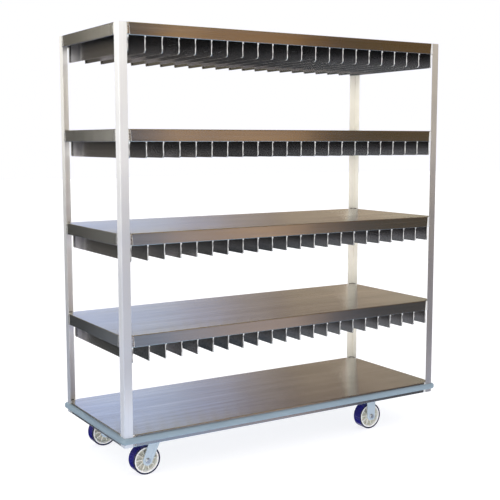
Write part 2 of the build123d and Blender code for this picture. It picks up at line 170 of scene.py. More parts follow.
def brushed(name, base, rough, grain, aniso=0.85, tint=0.05, wave=0.0006, streak=0.05, metallic=1.0, stain=None, front_shade_painted=0.0):
    """Sheet steel. grain is "sheet" (along X, and up the end flanges, as the bent sheet has it), "X", "Y" or "Z".

    The shine is drawn out across the grain, with streaks, slow waves of the sheet and faint wiping marks.
    """
    m, net, b = material(name)
    obj = net.node("ShaderNodeTexCoord").outputs["Object"]
    normal = net.node("ShaderNodeNewGeometry").outputs["True Normal"]
    sep = net.node("ShaderNodeSeparateXYZ")
    net.put(sep.inputs[0], normal)
    end_face = net.remap(net.math("ABSOLUTE", sep.outputs[0]), 0.6, 0.8, 0.0, 1.0)
    along = {"X": (0.9, 70, 70), "Y": (70, 0.9, 70), "Z": (70, 70, 0.9)}
    fine = {"X": (7, 620, 620), "Y": (620, 7, 620), "Z": (620, 620, 7)}
    middle = {"X": (2.4, 170, 170), "Y": (170, 2.4, 170), "Z": (170, 170, 2.4)}
    across = {"X": (1.0, 0.0, 0.0), "Y": (0.0, 1.0, 0.0), "Z": (0.0, 0.0, 1.0)}
    first = "X" if grain == "sheet" else grain
    s1 = net.noise(net.coords(along[first], vec=obj), 1.0, 3.0, 0.6)
    s2 = net.noise(net.coords(fine[first], vec=obj), 1.0, 2.0, 0.5)
    s3 = net.noise(net.coords(middle[first], loc=(2, 9, 4), vec=obj), 1.0, 2.0, 0.6)
    g = net.vmath("CROSS_PRODUCT", normal, across[first])
    if grain == "sheet":
        s1 = net.fmix(end_face, s1, net.noise(net.coords(along["Z"], vec=obj), 1.0, 3.0, 0.6))
        s2 = net.fmix(end_face, s2, net.noise(net.coords(fine["Z"], vec=obj), 1.0, 2.0, 0.5))
        g2 = net.vmath("CROSS_PRODUCT", normal, across["Z"])
        mixer = net.node("ShaderNodeMix", data_type="VECTOR")
        net.put(mixer.inputs[0], end_face)
        net.put(mixer.inputs[4], g)
        net.put(mixer.inputs[5], g2)
        g = mixer.outputs[1]
    net.put(b.inputs["Tangent"], g)
    b.inputs["Anisotropic"].default_value = aniso
    blotch = net.noise(net.coords((5, 5, 5), vec=obj), 1.0, 4.0, 0.6, 0.4)
    wiped = net.noise(net.coords((2.2, 9, 4), loc=(3, 7, 1), vec=obj), 1.0, 5.0, 0.65, 0.8)
    # colour
    c = net.mix(net.remap(s1, 0.3, 0.7, 0.0, 1.0), (*gray(base, 1 - streak), 1), (*gray(base, 1 + streak), 1))
    c = net.mix(net.remap(s2, 0.35, 0.65, 0.0, 0.5), c, (*gray(base, 1 + 1.6 * streak), 1))
    c = net.mix(net.remap(s3, 0.42, 0.62, 0.0, 0.6), c, (*gray(base, 1 - 2.2 * streak), 1))
    c = net.mix(net.remap(blotch, 0.4, 0.75, 0.0, 0.7), c, (*gray((base[0] * 1.0, base[1] * 0.985, base[2] * 0.96), 1 - tint), 1))
    if stain is not None:
        c = net.mix(net.remap(wiped, 0.55, 0.8, 0.0, 0.4), c, (*stain, 1))
    place = net.node("ShaderNodeSeparateXYZ")
    net.put(place.inputs[0], obj)
    if grain == "sheet":
        # rolling marks 15 to 40 mm wide on the flat of the decks
        flat = net.remap(net.math("ABSOLUTE", sep.outputs[2]), 0.8, 0.95, 0.0, 1.0)
        coarse = net.noise(net.coords((1.6, 60, 60), loc=(4, 1, 3), vec=obj), 1.0, 3.0, 0.7)
        broad = net.noise(net.coords((0.7, 17, 17), loc=(1, 6, 2), vec=obj), 1.0, 2.0, 0.6)
        marks = net.math("MULTIPLY", net.remap(coarse, 0.35, 0.65, 0.0, 1.0), net.fmix(flat, 0.18, 0.85))
        c = net.mix(marks, c, (base[0] * 0.85, base[1] * 0.83, base[2] * 0.80, 1))
        c = net.mix(net.math("MULTIPLY", net.remap(broad, 0.4, 0.7, 0.0, 1.0), net.fmix(flat, 0.0, 0.5)), c, (*gray(base, 1.12), 1))
        # painted shade and highlight: the end faces are painted darker towards the back and lighter towards the front,
        # standing in for their reflection
        end_shade_painted = net.math("MULTIPLY", end_face, net.remap(place.outputs[1], -0.30, 0.30, 0.0, 1.0))
        end_highlight_painted = net.math("MULTIPLY", end_face, net.remap(place.outputs[1], -0.32, 0.10, 1.0, 0.0))
        c = net.mix(net.math("MULTIPLY", end_shade_painted, 0.75), c, (*gray(base, 0.50), 1))
        c = net.mix(net.math("MULTIPLY", end_highlight_painted, 0.80), c, (*gray(base, 1.50), 1))
        # painted shade: the front and back faces of the pans are painted darker, standing in for the dark they
        # reflect, the lowest pans' most of all
        facing_shade_painted = net.remap(net.math("ABSOLUTE", sep.outputs[1]), 0.6, 0.8, 0.0, 1.0)
        shade_painted_by_height = net.remap(place.outputs[2], 0.64, 0.90, 0.26, 0.12)
        c = net.mix(net.math("MULTIPLY", facing_shade_painted, shade_painted_by_height), c, (base[0] * 0.23, base[1] * 0.25, base[2] * 0.29, 1))
    if front_shade_painted:
        # painted shade: the front face of the post is painted darker over its middle heights; the round corner is not
        # darkened
        front = net.remap(net.math("MULTIPLY", sep.outputs[1], -1.0), 0.80, 0.97, 0.0, 1.0, smooth=True)
        middle_shade_painted = net.math("MULTIPLY", net.remap(place.outputs[2], 0.30, 0.50, 0.0, 1.0, smooth=True), net.remap(place.outputs[2], 1.00, 1.38, 1.0, 0.0, smooth=True))
        c = net.mix(net.math("MULTIPLY", front, middle_shade_painted), c, (*gray(base, 1 - front_shade_painted), 1))
    if name == "divider_stainless_painted_shade":
        # painted shade and highlight: each plate is painted darker under its pan, where shade falls, and lighter at
        # its lower edge
        drop = net.math("MODULO", net.math("SUBTRACT", place.outputs[2], 0.208), 0.4191)
        c = net.mix(net.remap(drop, 0.3023, 0.340, 0.85, 0.0), c, (*gray(base, 1.55), 1))
        c = net.mix(net.remap(drop, 0.330, 0.366, 0.0, 0.9), c, (*gray(base, 0.48), 1))
    net.put(b.inputs["Base Color"], c)
    b.inputs["Metallic"].default_value = metallic
    r = net.math("ADD", net.remap(s1, 0.3, 0.7, rough - 0.015, rough + 0.015), net.remap(wiped, 0.35, 0.75, -0.004, 0.012))
    r = net.math("ADD", r, net.remap(s2, 0.3, 0.7, -0.01, 0.01))
    net.put(b.inputs["Roughness"], r)
    slow = net.noise(net.coords((1.6, 2.4, 2.4), vec=obj), 1.0, 2.0, 0.45)
    n1 = net.bump(slow, wave * 20, 1.0)
    n2 = net.bump(net.math("ADD", net.math("MULTIPLY", s1, 0.6), s2), 0.00004, 0.3, n1)
    net.put(b.inputs["Normal"], n2)
    return m


shelf_mat = brushed("shelf_stainless", (0.62, 0.61, 0.60), 0.22, "sheet", aniso=1.0, streak=0.05, tint=0.02, wave=0.00016, stain=(0.59, 0.575, 0.56))
# the divider plates are a darker copy of the pan steel: painted shade for the narrow slots between them
divider_shaded_copy_mat = brushed("divider_stainless_painted_shade", (0.34, 0.335, 0.35), 0.25, "Y", aniso=1.0, streak=0.02, tint=0.02, wave=0.0001)
post_mat = brushed("post_stainless", (0.90, 0.90, 0.90), 0.46, "Z", aniso=0.95, streak=0.025, tint=0.02, metallic=0.88)
# painted light and shade: the front right post gets a darker copy of the post steel, the left front one and the back
# right one paler, more frosted copies, standing in for how the light falls on each
post_lit_copy_mat = brushed("post_stainless_painted_light", (0.95, 0.96, 0.98), 0.46, "Z", aniso=0.95, streak=0.02, tint=0.015, metallic=0.62, front_shade_painted=0.20)
post_shaded_copy_mat = brushed("post_stainless_painted_shade", (0.68, 0.655, 0.63), 0.46, "Z", aniso=0.95, streak=0.025, tint=0.02, metallic=0.92, front_shade_painted=0.22)
post_pale_lit_copy_mat = brushed("post_stainless_paler_painted_light", (0.99, 0.965, 0.90), 0.40, "Z", aniso=0.95, streak=0.015, tint=0.02, metallic=0.35)
channel_mat = brushed("channel_steel", (0.50, 0.50, 0.50), 0.36, "Y")
# painted highlight: the folded edges get a near-white, mostly diffuse copy of the steel, so they show as bright lines
edge_highlight_mat = brushed("folded_edge_painted_highlight", (0.97, 0.96, 0.93), 0.40, "Z", aniso=0.3, streak=0.02, tint=0.02, metallic=0.22)


def vinyl():
    m, net, b = material("bumper_vinyl")
    obj = net.node("ShaderNodeTexCoord").outputs["Object"]
    n1 = net.noise(net.coords((6, 6, 30), vec=obj), 1.0, 4.0, 0.6)
    n2 = net.noise(net.coords((420, 420, 420), vec=obj), 1.0, 2.0, 0.5)
    scuff = net.noise(net.coords((25, 25, 180), vec=obj), 1.0, 5.0, 0.7, 0.5)
    c = net.mix(net.remap(n1, 0.3, 0.7, 0, 1), (0.243, 0.322, 0.378, 1), (0.283, 0.372, 0.434, 1))
    c = net.mix(net.remap(scuff, 0.62, 0.8, 0, 0.55), c, (0.15, 0.19, 0.22, 1))
    net.put(b.inputs["Base Color"], c)
    r = net.math("ADD", net.remap(n1, 0.3, 0.7, 0.34, 0.42), net.remap(scuff, 0.5, 0.8, 0.0, 0.16))
    net.put(b.inputs["Roughness"], r)
    net.put(b.inputs["Normal"], net.bump(net.math("ADD", n2, net.math("MULTIPLY", scuff, 0.8)), 0.00012, 0.5))
    b.inputs["Specular IOR Level"].default_value = 0.5
    return m


def zinc(name="zinc_plate", base=(0.74, 0.80, 0.84), rough=0.34, metallic=1.0):
    m, net, b = material(name)
    obj = net.node("ShaderNodeTexCoord").outputs["Object"]
    spangle = net.node("ShaderNodeTexVoronoi", feature="F1")
    net.put(spangle.inputs["Vector"], net.coords((260, 260, 260), vec=obj))
    cell = spangle.outputs["Color"]
    cell_v = net.node("ShaderNodeSeparateColor")
    net.put(cell_v.inputs[0], cell)
    n1 = net.noise(net.coords((40, 40, 40), vec=obj), 1.0, 4.0, 0.6)
    dirt = net.noise(net.coords((22, 22, 22), loc=(5, 3, 2), vec=obj), 1.0, 5.0, 0.7)
    c = net.mix(net.remap(cell_v.outputs[0], 0, 1, 0, 0.5), (*gray(base, 0.94), 1), (*gray(base, 1.05), 1))
    c = net.mix(net.remap(n1, 0.4, 0.7, 0, 0.5), c, (*gray((base[0] * 0.97, base[1], base[2] * 1.02), 1.0), 1))
    c = net.mix(net.remap(dirt, 0.62, 0.8, 0, 0.4), c, (0.42, 0.42, 0.42, 1))
    net.put(b.inputs["Base Color"], c)
    b.inputs["Metallic"].default_value = metallic
    net.put(b.inputs["Roughness"], net.math("ADD", net.remap(cell_v.outputs[1], 0, 1, rough - 0.04, rough + 0.06), net.remap(dirt, 0.5, 0.8, 0, 0.15)))
    net.put(b.inputs["Normal"], net.bump(net.math("ADD", n1, net.math("MULTIPLY", cell_v.outputs[2], 0.4)), 0.00015, 0.5))
    return m


def wheel_parts(net, length, width):
    """Distance from the axle and from the middle plane of a wheel piece, in millimetres."""
    gen = net.node("ShaderNodeTexCoord").outputs["Generated"]
    sep = net.node("ShaderNodeSeparateXYZ")
    net.put(sep.inputs[0], gen)
    gx = net.math("MULTIPLY", net.math("SUBTRACT", sep.outputs[0], 0.5), length)
    gy = net.math("MULTIPLY", net.math("SUBTRACT", sep.outputs[1], 0.5), width)
    gz = net.math("MULTIPLY", net.math("SUBTRACT", sep.outputs[2], 0.5), length)
    radius = net.math("SQRT", net.math("ADD", net.math("MULTIPLY", gx, gx), net.math("MULTIPLY", gz, gz)))
    return radius, net.math("ABSOLUTE", gy)


def core_plastic():
    """Moulded cream nylon: the pockets between the ribs and the hub round the axle are painted darker as shade,
    mottled with dust; the rim ring is painted lighter as a highlight.
    """
    m, net, b = material("core_plastic")
    obj = net.node("ShaderNodeTexCoord").outputs["Object"]
    radius, depth = wheel_parts(net, 112.0, 61.2)
    n1 = net.noise(net.coords((35, 35, 35), vec=obj), 1.0, 4.0, 0.6)
    n2 = net.noise(net.coords((500, 500, 500), vec=obj), 1.0, 2.0, 0.5)
    dust = net.noise(net.coords((60, 60, 60), loc=(2, 2, 2), vec=obj), 1.0, 5.0, 0.7)
    c = net.mix(net.remap(n1, 0.3, 0.7, 0, 1), (0.87, 0.86, 0.79, 1), (0.93, 0.93, 0.88, 1))
    # painted shade with dust: the recessed web between the ribs is darker
    pocket_dust_and_shade = net.remap(net.math("ADD", depth, net.math("MULTIPLY", dust, 3.0)), 5.5, 15.0, 1.0, 0.0, smooth=True)
    pocket_dust_and_shade = net.math("MULTIPLY", pocket_dust_and_shade, net.remap(dust, 0.35, 0.65, 0.65, 1.0))
    c = net.mix(pocket_dust_and_shade, c, (0.64, 0.64, 0.57, 1))
    # painted highlight: the rim ring is lighter
    c = net.mix(net.math("MULTIPLY", net.remap(radius, 50.6, 51.4, 0.0, 1.0), 0.85), c, (0.97, 0.96, 0.94, 1))
    # painted shade with dust: the hub round the axle is darker
    c = net.mix(net.math("MULTIPLY", net.remap(radius, 13.0, 17.0, 1.0, 0.0), net.remap(dust, 0.4, 0.7, 0.2, 0.7)), c, (0.45, 0.44, 0.40, 1))
    net.put(b.inputs["Base Color"], c)
    net.put(b.inputs["Roughness"], net.math("ADD", net.remap(n1, 0.3, 0.7, 0.30, 0.44), net.math("MULTIPLY", pocket_dust_and_shade, 0.2)))
    net.put(b.inputs["Normal"], net.bump(net.math("ADD", n2, n1), 0.0001, 0.4))
    b.inputs["Subsurface Weight"].default_value = 0.1
    b.inputs["Subsurface Radius"].default_value = (0.004, 0.003, 0.002)
    b.inputs["Subsurface Scale"].default_value = 0.5
    return m


def tread_pu():
    """Navy polyurethane: deep glossy blue round the outside; the cut sides are painted nearly black as shade."""
    m, net, b = material("tread_polyurethane")
    obj = net.node("ShaderNodeTexCoord").outputs["Object"]
    radius, depth = wheel_parts(net, 127.0, 50.8)
    n1 = net.noise(net.coords((30, 30, 30), vec=obj), 1.0, 4.0, 0.6)
    scuff = net.noise(net.coords((60, 12, 60), vec=obj), 1.0, 5.0, 0.7, 0.6)
    n2 = net.noise(net.coords((700, 700, 700), vec=obj), 1.0, 2.0, 0.5)
    c = net.mix(net.remap(n1, 0.3, 0.7, 0, 1), (0.009, 0.006, 0.130, 1), (0.015, 0.011, 0.230, 1))
    c = net.mix(net.remap(scuff, 0.6, 0.85, 0, 0.4), c, (0.04, 0.045, 0.14, 1))
    # painted shade: the sides of the tread are painted nearly black
    c = net.mix(net.remap(depth, 23.2, 25.0, 0.0, 0.9), c, (0.004, 0.004, 0.020, 1))
    net.put(b.inputs["Base Color"], c)
    net.put(b.inputs["Roughness"], net.math("ADD", net.remap(n1, 0.3, 0.7, 0.20, 0.28), net.remap(scuff, 0.5, 0.8, 0, 0.2)))
    net.put(b.inputs["Normal"], net.bump(net.math("ADD", n2, scuff), 0.00012, 0.4))
    b.inputs["Specular IOR Level"].default_value = 0.5
    return m


vinyl_mat = vinyl()
zinc_mat = zinc("zinc_plate", (0.64, 0.75, 0.83), 0.40, 0.35)
fastener_mat = zinc("fastener_zinc", (0.66, 0.68, 0.70), 0.30)
bearing_mat = zinc("bearing_steel", (0.55, 0.55, 0.56), 0.2)
track_mat = zinc("track_aluminium", (0.72, 0.73, 0.75), 0.35)
core_mat = core_plastic()
tread_mat = tread_pu()


def weld(name, base, rough, metallic):
    """Dressed weld metal: bright, a little frosted, with ripple marks and a trace of heat colour."""
    m, net, b = material(name)
    obj = net.node("ShaderNodeTexCoord").outputs["Object"]
    n1 = net.noise(net.coords((90, 90, 260), vec=obj), 1.0, 4.0, 0.6)
    n2 = net.noise(net.coords((30, 30, 30), loc=(1, 5, 2), vec=obj), 1.0, 3.0, 0.6)
    c = net.mix(net.remap(n1, 0.3, 0.7, 0, 1), (*gray(base, 0.93), 1), (*gray(base, 1.04), 1))
    c = net.mix(net.remap(n2, 0.55, 0.8, 0, 0.4), c, (base[0] * 0.9, base[1] * 0.82, base[2] * 0.66, 1))
    net.put(b.inputs["Base Color"], c)
    b.inputs["Metallic"].default_value = metallic
    net.put(b.inputs["Roughness"], net.remap(n1, 0.3, 0.7, rough - 0.05, rough + 0.07))
    net.put(b.inputs["Normal"], net.bump(n1, 0.0003, 0.5))
    return m


weld_mat = weld("weld_metal", (0.93, 0.93, 0.91), 0.40, 0.35)
seam_mat = weld("seam_metal", (0.60, 0.585, 0.57), 0.27, 0.95)
dark_fillet_mat = weld("near_black_tab_fillet", (0.060, 0.050, 0.050), 0.45, 0.5)

SLOT_MATERIAL = {
    "post_steel": post_mat, "shelf_steel": shelf_mat, "divider_steel": divider_shaded_copy_mat, "bumper_vinyl": vinyl_mat,
    "track_aluminium": track_mat, "zinc_plated_steel": zinc_mat, "fastener_steel": fastener_mat,
    "bearing_steel": bearing_mat, "wheel_core_plastic": core_mat, "tread_polyurethane": tread_mat,
}
OWN_MATERIAL = {
    "caster_channel_left": channel_mat, "caster_channel_right": channel_mat,
    "post_front_right": post_shaded_copy_mat, "post_front_left": post_lit_copy_mat, "post_back_right": post_pale_lit_copy_mat,
}
for part in frame["record"]["subparts"]:
    obj = NODES[part["node"]]
    mat = OWN_MATERIAL.get(part["node"]) or SLOT_MATERIAL[part["material_slot"]]
    obj.data.materials.clear()
    obj.data.materials.append(mat)


# ------------------------------------------------------------------ small pieces
def finish_mesh(bm, name, mat, body="rack", smooth=True):
    me = bpy.data.meshes.new(name)
    bm.to_mesh(me)
    bm.free()
    ob = bpy.data.objects.new(name, me)
    scene.collection.objects.link(ob)
    me.materials.append(mat)
    for p in me.polygons:
        p.use_smooth = smooth
    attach(ob, body)
    return ob


def bead(bm, centre, size, seed, axis_z=1.0):
    """A small weld tack: a rounded lump with an uneven skin."""
    rng = random.Random(seed)
    made = bmesh.ops.create_icosphere(bm, subdivisions=2, radius=1.0)["verts"]
    off = Vector((rng.uniform(0, 50), rng.uniform(0, 50), rng.uniform(0, 50)))
    for v in made:
        p = v.co.copy()
        k = 1.0 + 0.22 * noise.noise(p * 1.7 + off)
        v.co = Vector((p.x * size[0] * k, p.y * size[1] * k, p.z * size[2] * k)) + Vector(centre)


for level, name in ((1, "shelf_1"), (2, "shelf_2"), (3, "shelf_3"), (4, "top_shelf")):
    bm = bmesh.new()
    z = DECKS[level] - FLANGE
    rng = random.Random(100 + level)
    for i, x in enumerate(DIVIDER_XS):
        for s in (-1, 1):
            big = rng.uniform(0.75, 1.25)
            lean = rng.uniform(-0.0009, 0.0009)
            bead(bm, (x + lean - 0.0004, s * (HY - 0.0052), z - 0.0016 * big), (0.0034 * big, 0.0028, 0.0056 * big), 1000 * level + 2 * i + (s > 0))
    finish_mesh(bm, f"divider_welds_{name}", weld_mat)


def tube(bm, path, radii, sides=10, cap=True):
    """A round bead swept along points, with a radius at each."""
    rings = []
    n = len(path)
    for k, p in enumerate(path):
        a = path[max(k - 1, 0)]
        b = path[min(k + 1, n - 1)]
        t = (Vector(b) - Vector(a)).normalized()
        u = t.cross(Vector((1, 0, 0))) if abs(t.x) < 0.9 else t.cross(Vector((0, 0, 1)))
        u.normalize()
        v = t.cross(u)
        r = radii[k]
        ring = []
        for q in range(sides):
            ang = 2 * math.pi * q / sides
            ring.append(bm.verts.new(Vector(p) + r * (math.cos(ang) * u + math.sin(ang) * v)))
        rings.append(ring)
    for r0, r1 in zip(rings, rings[1:]):
        for q in range(sides):
            bm.faces.new((r0[q], r0[(q + 1) % sides], r1[(q + 1) % sides], r1[q]))
    if cap:
        bm.faces.new(tuple(reversed(rings[0])))
        bm.faces.new(tuple(rings[-1]))


# the rolled front and back edge of every divider plate, going round the lower corner and thinning out below
EDGE_R = 0.0021
for level, name in ((1, "shelf_1"), (2, "shelf_2"), (3, "shelf_3"), (4, "top_shelf")):
    bm = bmesh.new()
    top = DECKS[level] - FLANGE + 0.002
    low = DECKS[level] - FLANGE - 0.066
    rng = random.Random(200 + level)
    for i, x in enumerate(DIVIDER_XS):
        for s in (-1, 1):
            y = s * (HY - 0.005 - EDGE_R)
            r = 0.009 - EDGE_R
            pts, rad = [], []
            for k in range(9):
                t = k / 8
                pts.append((x + 0.0002 * math.sin(7 * t + i), y, top + (low + 0.009 - top) * t))
                rad.append(EDGE_R * (1 + 0.03 * math.sin(11 * t + 3 * i)))
            for k in range(1, 7):
                a = math.pi / 2 * k / 6
                pts.append((x, y - s * r * (1 - math.cos(a)), low + 0.009 - r * math.sin(a)))
                rad.append(EDGE_R * (1 - 0.05 * k / 6))
            for k in range(1, 7):
                pts.append((x, y - s * (r + 0.013 * k / 6), low + EDGE_R * 0.9 * (1 - 0.4 * k / 6)))
                rad.append(EDGE_R * (0.92 - 0.62 * k / 6))
            tube(bm, pts, rad)
    bmesh.ops.recalc_face_normals(bm, faces=bm.faces)
    finish_mesh(bm, f"divider_edges_{name}", edge_highlight_mat)


# the seams that fill the gap between each post and the end of each flange
GAP_TOP, GAP_BOTTOM, POST_LEG = 0.009, 0.013, 0.0381


def seam(bm, corner, face, deck_z, seed):
    """A filled weld seam: it runs down the gap, swells outwards and ends in a rounded toe at the hem."""
    sx, sy = corner
    rng = random.Random(seed)
    rows, cols = 15, 7
    z0, z1 = deck_z - 0.0026, deck_z - FLANGE + 0.0012
    front, back = [], []
    shift = rng.uniform(0, 40)
    for j in range(rows):
        t = j / (rows - 1)
        z = z0 + (z1 - z0) * t
        a0 = POST_LEG + 0.0011 - 0.0004 * t
        a1 = POST_LEG + GAP_TOP + (GAP_BOTTOM - GAP_TOP) * t + 0.0008
        f_row, b_row = [], []
        for i in range(cols):
            u = i / (cols - 1)
            a = a0 + (a1 - a0) * u
            ripple = 0.00022 * math.sin(z * 1900 + shift) + 0.0003 * noise.noise(Vector((a * 200, z * 160, shift)))
            out = 0.0004 + 0.0009 * math.sin(math.pi * u) + ripple * math.sin(math.pi * u)
            for row, depth in ((f_row, -out), (b_row, 0.0030)):
                if face == "y":
                    co = (sx * (HX - a), sy * (HY - depth), z)
                else:
                    co = (sx * (HX - depth), sy * (HY - a), z)
                row.append(bm.verts.new(co))
        front.append(f_row)
        back.append(b_row)
    for grid in (front, back):
        for j in range(rows - 1):
            for i in range(cols - 1):
                bm.faces.new((grid[j][i], grid[j][i + 1], grid[j + 1][i + 1], grid[j + 1][i]))
    for j in range(rows - 1):
        for i in (0, cols - 1):
            bm.faces.new((front[j][i], front[j + 1][i], back[j + 1][i], back[j][i]))
    for i in range(cols - 1):
        for j in (0, rows - 1):
            bm.faces.new((front[j][i], front[j][i + 1], back[j][i + 1], back[j][i]))


def end_bead(bm, corner, face, deck_z, seed):
    """The thin bright line of a dressed weld down the slanting end of a flange."""
    sx, sy = corner
    rng = random.Random(seed)
    pts, rad = [], []
    for k in range(13):
        t = k / 12
        z = deck_z - 0.0036 + (0.0022 - FLANGE + 0.0036) * t
        a = POST_LEG + GAP_TOP + (GAP_BOTTOM - GAP_TOP) * t + 0.0003 * math.sin(9 * t + seed)
        x, y = (HX - a, HY + 0.0001) if face == "y" else (HX + 0.0001, HY - a)
        pts.append((sx * x, sy * y, z))
        rad.append(0.00085 * rng.uniform(0.85, 1.15))
    tube(bm, pts, rad, 7)


LEVELS = ((0, "base_shelf"), (1, "shelf_1"), (2, "shelf_2"), (3, "shelf_3"), (4, "top_shelf"))
for level, name in LEVELS:
    n = 0
    # the seams at the left end are dressed flush and polished with the pan, those at the right end are left frosted
    for sx, end, metal in ((-1, "left", seam_mat), (1, "right", weld_mat)):
        bm = bmesh.new()
        for sy in (-1, 1):
            for face in ("x", "y"):
                n += 1
                seam(bm, (sx, sy), face, DECKS[level], 50 * level + n)
        bmesh.ops.recalc_face_normals(bm, faces=bm.faces)
        finish_mesh(bm, f"corner_seams_{end}_{name}", metal)
    bm = bmesh.new()
    n = 0
    for sx in (-1, 1):
        for sy in (-1, 1):
            for face in ("x", "y"):
                n += 1
                end_bead(bm, (sx, sy), face, DECKS[level], 70 * level + n)
    bmesh.ops.recalc_face_normals(bm, faces=bm.faces)
    finish_mesh(bm, f"seam_beads_{name}", weld_mat)


# near-black fillet where each deck's tabs meet the inside of the posts, and the light tack on top of it
def inner_fillet(bm_dark, bm_light, corner, deck_z, seed):
    sx, sy = corner
    rng = random.Random(seed)
    inside = 0.0032
    sunk = 0.0034 if deck_z > 1.8 else 0.0      # at the top they lie in the notch, under the level of the deck
    for axis in ("x", "y"):
        pts, rad = [], []
        for k in range(9):
            a = 0.0052 + 0.0315 * k / 8
            w = inside + 0.0006
            x, y = (HX - a, HY - w) if axis == "y" else (HX - w, HY - a)
            pts.append((sx * x, sy * y, deck_z - sunk + 0.0004 * math.sin(k * 1.3 + seed)))
            rad.append(0.0024 * (0.75 + 0.35 * math.sin(math.pi * (k + 0.6) / 9.2)) * rng.uniform(0.92, 1.08))
        tube(bm_dark, pts, rad, 8)
        x, y = (HX - 0.034, HY - inside - 0.0016) if axis == "y" else (HX - inside - 0.0016, HY - 0.034)
        bead(bm_light, (sx * x, sy * y, deck_z - 0.0006 - sunk * 0.8), (0.0042, 0.0042, 0.0022), seed * 3 + (axis == "x"))


for level, name in LEVELS:
    dark, light = bmesh.new(), bmesh.new()
    n = 0
    for sx in (-1, 1):
        for sy in (-1, 1):
            n += 1
            inner_fillet(dark, light, (sx, sy), DECKS[level], 9 * level + n)
    bmesh.ops.recalc_face_normals(dark, faces=dark.faces)
    finish_mesh(dark, f"tab_welds_{name}", dark_fillet_mat)
    finish_mesh(light, f"corner_tacks_{name}", weld_mat)


# ------------------------------------------------------------------ floor, world, light
FLOOR_GLOW = 0.78      # the floor is lit from below as well, like a light table, so the shade on it stays faint


def make_floor():
    bm = bmesh.new()
    bmesh.ops.create_grid(bm, x_segments=4, y_segments=4, size=30)
    me = bpy.data.meshes.new("floor")
    bm.to_mesh(me)
    bm.free()
    ob = bpy.data.objects.new("floor", me)
    scene.collection.objects.link(ob)
    m, net, b = material("floor_white")
    obj = net.node("ShaderNodeTexCoord").outputs["Object"]
    n1 = net.noise(net.coords((0.6, 0.6, 0.6), vec=obj), 1.0, 3.0, 0.5)
    net.put(b.inputs["Base Color"], net.mix(n1, (0.40, 0.40, 0.40, 1), (0.41, 0.41, 0.41, 1)))
    b.inputs["Roughness"].default_value = 0.9
    b.inputs["Specular IOR Level"].default_value = 0.0
    b.inputs["Emission Color"].default_value = (1.0, 1.0, 1.0, 1.0)
    b.inputs["Emission Strength"].default_value = FLOOR_GLOW
    me.materials.append(m)
    ob.visible_glossy = False
    return ob


floor = make_floor()

